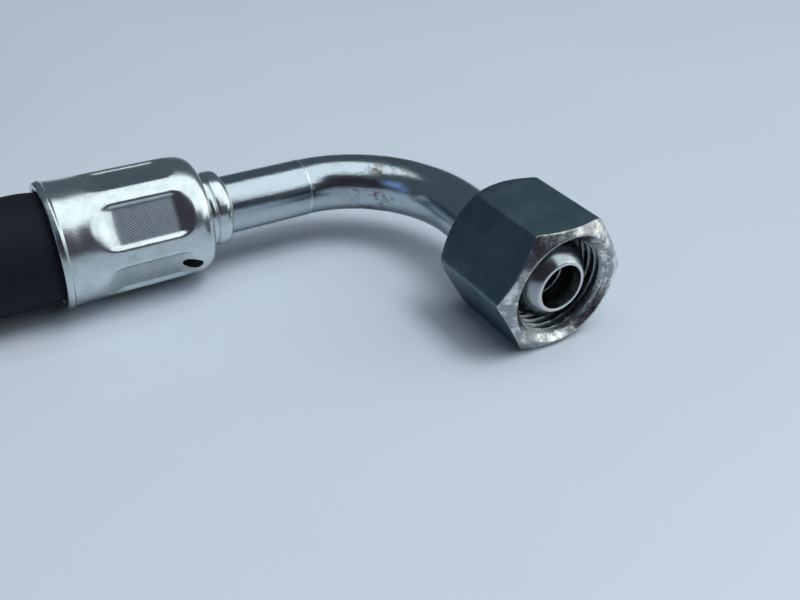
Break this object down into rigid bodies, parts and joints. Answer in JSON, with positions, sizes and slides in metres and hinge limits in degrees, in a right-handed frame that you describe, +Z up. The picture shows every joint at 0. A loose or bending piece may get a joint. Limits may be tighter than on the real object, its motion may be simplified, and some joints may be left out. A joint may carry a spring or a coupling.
{
  "type": "hydraulic hose assembly",
  "caption": "Coiled high-pressure rubber hose with crimped ferrules, a swept 90 degree ball-nose swivel end and a straight swivel end.",
  "frame": {"origin": "on the surface, below the middle of the elbow end's own box (ferrule, elbow and union nut)", "axes": "+X from the elbow end's ferrule along its tube towards the bend, -Y out of the union nut, +Z up"},
  "size_m": [0.3149, 0.2709, 0.0425],
  "materials": {
    "zinc_ferrule": "bright zinc plate with a satin sheen",
    "zinc_tube": "bright zinc plate, polished along the tube",
    "zinc_head": "zinc plate with a faint green passivation",
    "zinc_nut": "dull blue-grey zinc, worn bright on the edges",
    "braze": "plated-over brazing metal",
    "cover_rubber": "matt black rubber with fine dust",
    "inner_rubber": "matt black rubber",
    "braid_wire": "brass-coated steel wire braid",
    "tie_nylon": "black nylon"
  },
  "bodies": {
    "hose_and_fittings": {"ferrule_a": "zinc_ferrule", "hose_tail_a": "zinc_tube", "braze_ring_tail_a": "braze", "elbow_tube_a": "zinc_tube", "braze_ring_head_a": "braze", "cone_head_a": "zinc_head", "hose_cover": "cover_rubber", "outer_braid": "braid_wire", "braid_interlayer": "inner_rubber", "inner_braid": "braid_wire", "hose_liner": "inner_rubber", "cable_tie_1": "tie_nylon", "cable_tie_2": "tie_nylon", "ferrule_b": "zinc_ferrule", "straight_insert_b": "zinc_tube"},
    "nut_a": {"union_nut_a": "zinc_nut"},
    "nut_b": {"union_nut_b": "zinc_nut"}
  },
  "joints": [
    {"name": "nut_a_swivel", "type": "hinge", "parent": "hose_and_fittings", "child": "nut_a", "pos_m": [0.02775, -0.02125, 0.011], "axis": [0, -1, 0], "continuous": true},
    {"name": "nut_b_swivel", "type": "hinge", "parent": "hose_and_fittings", "child": "nut_b", "pos_m": [-0.24923, 0.19243, 0.0315], "axis": [0.1736, 0.9848, 0], "continuous": true}
  ]
}
